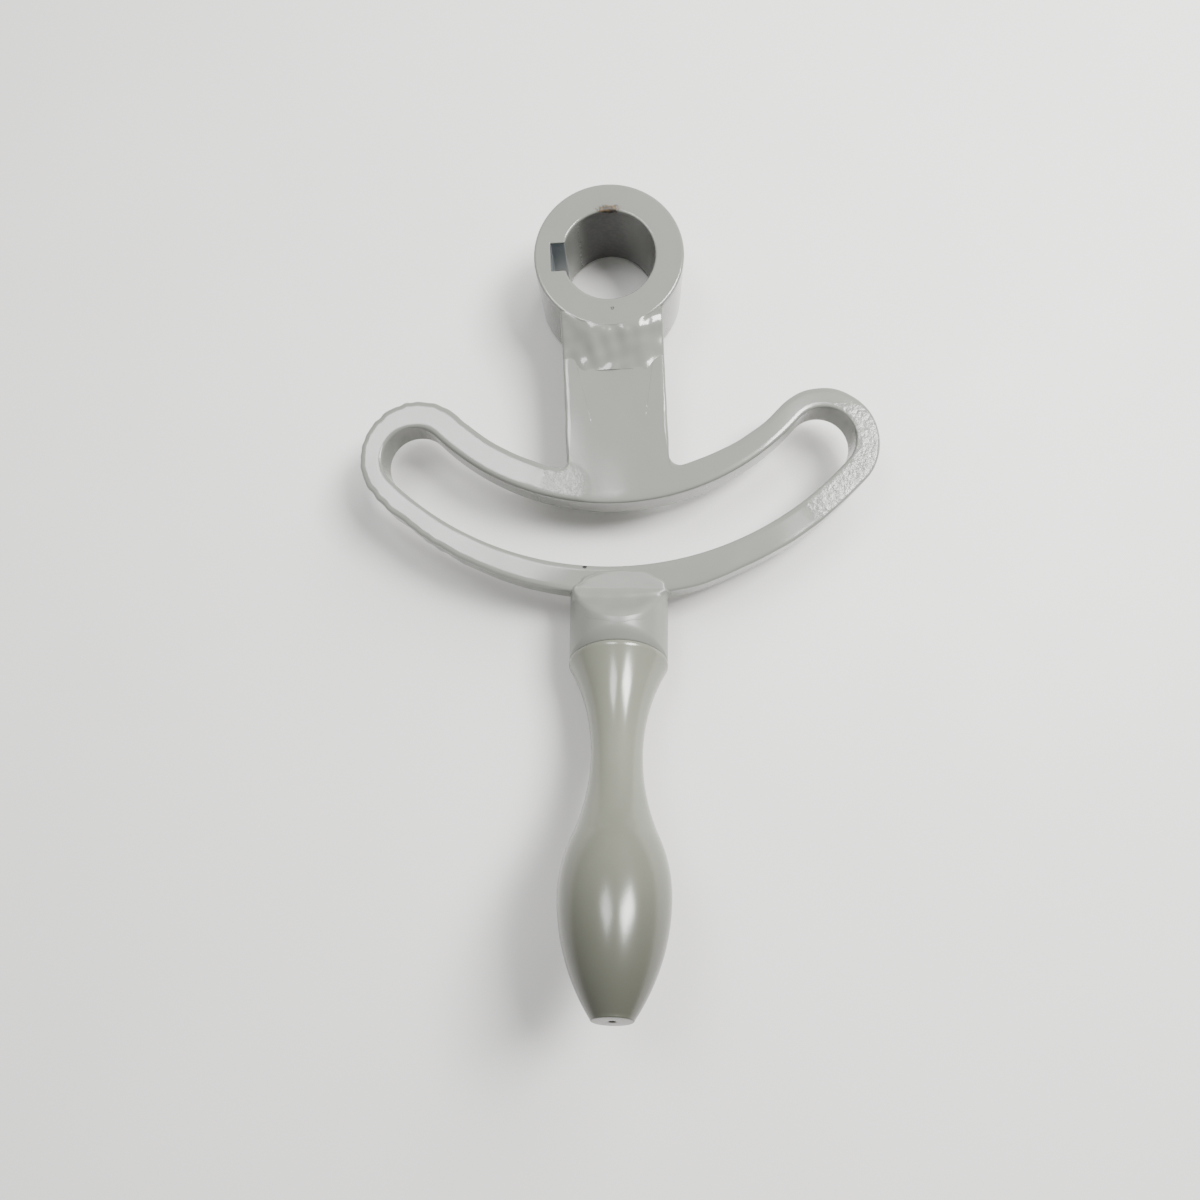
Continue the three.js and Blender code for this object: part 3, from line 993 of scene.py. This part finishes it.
@dataclass
class HubWeldFront(Part):
    """The weld between hub and arm on the front, dressed level with the hub and then stepped down."""

    hub_radius: float = 20.3
    land: float = 0.6
    slope: float = 24.0  # degrees
    crown: float = 0.35
    half_width: float = 13.7
    edge: float = 0.8
    hub_front: float = 28.0
    plate_front: float = 24.0

    def height(self, x: Array, y: Array) -> Array:
        """Height of the weld: the lower of the hub's face and an uneven slope, or the arm's if higher.

        The slope falls with the distance r from the bore's axis. Inside the hub's rim the weld sinks.
        """
        r = np.hypot(x, y)
        start = self.hub_radius + self.land + 0.35 * ripple(x, y * 0.3, 7.0, seed=41)
        fall = self.hub_front - (r - start) * math.tan(math.radians(self.slope))
        level = soft_min(np.full_like(r, self.hub_front + 0.02), fall, 0.9)
        level = soft_max(level, self.plate_front - 0.3, 2.2)
        lumps = 0.08 * ripple(x, y, 4.0, seed=45) - self.crown * (x / self.half_width) ** 2
        lumps = lumps * ease(r, start - 1.5, start + 1.0)
        hidden = 0.4 * ease(r, self.hub_radius - 0.9, self.hub_radius - 2.2)
        return level + lumps - hidden

    def build(self) -> bpy.types.Object:
        """Sections across the arm, carried from inside the hub to the toe, each a top, walls and a base."""
        along = np.linspace(-15.5, -31.0, 110)
        base = self.plate_front - 1.4
        flat = np.linspace(-1, 1, 70)
        rounds = np.linspace(0, QUARTER, 6)[1:]
        rise, fall = self.edge * (1 - np.sin(rounds)), self.edge * (1 - np.cos(rounds))
        rows = []
        for y in along:
            half = self.half_width + 0.03 - 0.12 * float(ease(np.array(-y), 27.5, 29.5))
            top_x = flat * (half - self.edge)
            top_z = self.height(top_x, np.full_like(top_x, y))
            right = [*zip(half - rise, top_z[-1] - fall)]
            left = [*zip(rise[::-1] - half, top_z[0] - fall[::-1])]
            foot = [(half, base + 0.3), (half - 0.3, base), (0.0, base)]
            foot += [(-half + 0.3, base), (-half, base + 0.3)]
            section = np.array([*zip(top_x, top_z), *right, *foot, *left])
            section[:, 1] = np.maximum(section[:, 1], base)
            rows.append(np.column_stack([section[:, 0], np.full(len(section), y), section[:, 1]]))
        return make_skin("hub_bead_front", np.stack(rows), ring=False)


@dataclass
class HubWeldBack(Part):
    """The fillet behind the plate, in the corner between hub and arm."""

    hub_radius: float = 20.3
    leg: float = 6.0
    plate_back: float = 12.0
    half_width: float = 13.7
    bulge: float = 1.35  # power of the section's curve
    pitch: float = 1.6  # from one run of the weld to the next

    def build(self) -> bpy.types.Object:
        """A bulged triangle carried round the hub, with a ripple for each run of the weld.

        The section is the corner plus leg * (cos a, -sin a)^bulge over the quarter, closed by the corner.
        """
        reach = math.asin((self.half_width + 0.05) / (self.hub_radius + self.leg / 2))
        turn = np.linspace(-reach, reach, 160)
        quarter = np.linspace(0, QUARTER, 24)
        out = np.concatenate([[-1.2, -1.2], self.leg * np.cos(quarter) ** self.bulge])
        down = np.concatenate([[self.leg, -1.0], self.leg * np.sin(quarter) ** self.bulge])
        scale = 1 + 0.02 * np.sin(turn * self.hub_radius * 2 * math.pi / self.pitch)
        taper = 0.25 + 0.75 * np.sqrt(np.clip(1 - (np.abs(turn) / reach) ** 14, 0, 1))
        radius = self.hub_radius + np.outer(scale * taper, out)
        height = self.plate_back - np.outer(scale * taper, down)
        flat = polar(radius, turn[:, None])
        flat[..., 0] = np.clip(flat[..., 0], -self.half_width, self.half_width)
        grid = np.concatenate([flat, height[..., None]], axis=-1)
        return make_skin("hub_bead_back", grid, ring=False)


# ---- studio --------------------------------------------------------------------------------------


@dataclass(frozen=True)
class Lamp:
    """A soft rectangular lamp: where it hangs, its size, its power and whether paint mirrors it."""

    name: str
    place: tuple[float, float, float]
    width: float
    height: float
    power: float
    colour: Colour = (1.0, 1.0, 1.0)
    mirrored: bool = True

    def light(self, target: Vector) -> bpy.types.Object:
        """Makes the lamp, turned to the target."""
        data = bpy.data.lights.new(self.name, "AREA")
        data.shape = "RECTANGLE"
        data.size, data.size_y = self.width, self.height
        data.energy = self.power
        data.color = self.colour
        lamp = bpy.data.objects.new(self.name, data)
        lamp.location = self.place
        lamp.rotation_euler = (target - lamp.location).to_track_quat("-Z", "Y").to_euler()
        lamp.visible_glossy = self.mirrored
        bpy.context.scene.collection.objects.link(lamp)
        return lamp


@dataclass
class Studio:
    """Camera, table, lamps and the light of the room."""

    eye: tuple[float, float, float] = (0.00134, -0.13055, 0.2957)
    turn: tuple[float, float, float] = (7.724, 1.920, -2.305)  # degrees about X, Y and Z
    lens: float = 31.5
    sensor: float = 36.0
    tilt: float = 3.0  # degrees of the table to the lever's back, as the lever lies on hub and socket
    contact: float = -0.0203  # Y of the hub's edge that touches the table
    room: float = 0.42
    lamps: tuple[Lamp, ...] = (
        Lamp("fill", (0.30, 0.36, 0.40), 0.40, 0.40, 4.0, (1.0, 0.995, 0.98), mirrored=False),
        Lamp("ceiling_left", (-0.15, 0.10, 0.62), 0.17, 0.22, 1.9, (0.98, 0.99, 1.0)),
        Lamp("ceiling_right", (0.33, 0.07, 0.62), 0.20, 0.28, 9.0, (1.0, 0.995, 0.98)),
    )

    def camera(self) -> None:
        """Makes the camera and sets it as the scene's."""
        data = bpy.data.cameras.new("camera")
        data.lens, data.sensor_width = self.lens, self.sensor
        data.clip_start, data.clip_end = 0.01, 20.0
        eye = bpy.data.objects.new("camera", data)
        eye.location = self.eye
        eye.rotation_euler = Euler([math.radians(turn) for turn in self.turn])
        bpy.context.scene.collection.objects.link(eye)
        bpy.context.scene.camera = eye

    def table(self) -> None:
        """A plain square of table that slopes by the tilt: z = (contact - y) * tan(tilt)."""
        reach = 3.0
        slope = math.tan(math.radians(self.tilt))
        corners = np.array([[-reach, -reach], [reach, -reach], [reach, reach], [-reach, reach]])
        points = np.column_stack([corners, (self.contact - corners[:, 1]) * slope])
        mesh = bpy.data.meshes.new("table")
        mesh.from_pydata(points.tolist(), [], [(0, 1, 2, 3)])
        mesh.materials.append(TableTop().material())
        table = bpy.data.objects.new("table", mesh)
        bpy.context.scene.collection.objects.link(table)
        table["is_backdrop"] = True

    def light(self) -> None:
        """Makes the lamps and the even light of the room."""
        low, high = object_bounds()
        for lamp in self.lamps:
            lamp.light((low + high) / 2)
        world = bpy.data.worlds.new("room")
        world.use_nodes = True
        background = world.node_tree.nodes["Background"]
        background.inputs["Color"].default_value = (1.0, 0.995, 0.985, 1.0)
        background.inputs["Strength"].default_value = self.room
        bpy.context.scene.world = world


def main() -> None:
    """Builds the studio and every piece of the lever."""
    logging.basicConfig(level=logging.INFO, format="%(name)s: %(message)s")
    studio = Studio()
    studio.camera()
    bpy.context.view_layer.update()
    studio.light()
    parts: list[Part] = [
        Hub("hub", "lever_enamel", BORE),
        LeverPlate("lever_plate", "lever_enamel", LEVER),
        HandleSocket("handle_socket", "lever_enamel", SOCKET),
        Handle("handle", "handle_enamel", HANDLE),
        HubWeldFront("hub_weld_front", "weld_enamel", LEVER),
        HubWeldBack("hub_weld_back", "weld_enamel", LEVER),
        SocketWeld("socket_weld_front", "weld_enamel", SOCKET, face=Face.FRONT),
        SocketWeld("socket_weld_back", "weld_enamel", SOCKET, face=Face.BACK),
    ]
    for part in parts:
        part.dress()
    studio.table()


if __name__ == "__main__":
    main()
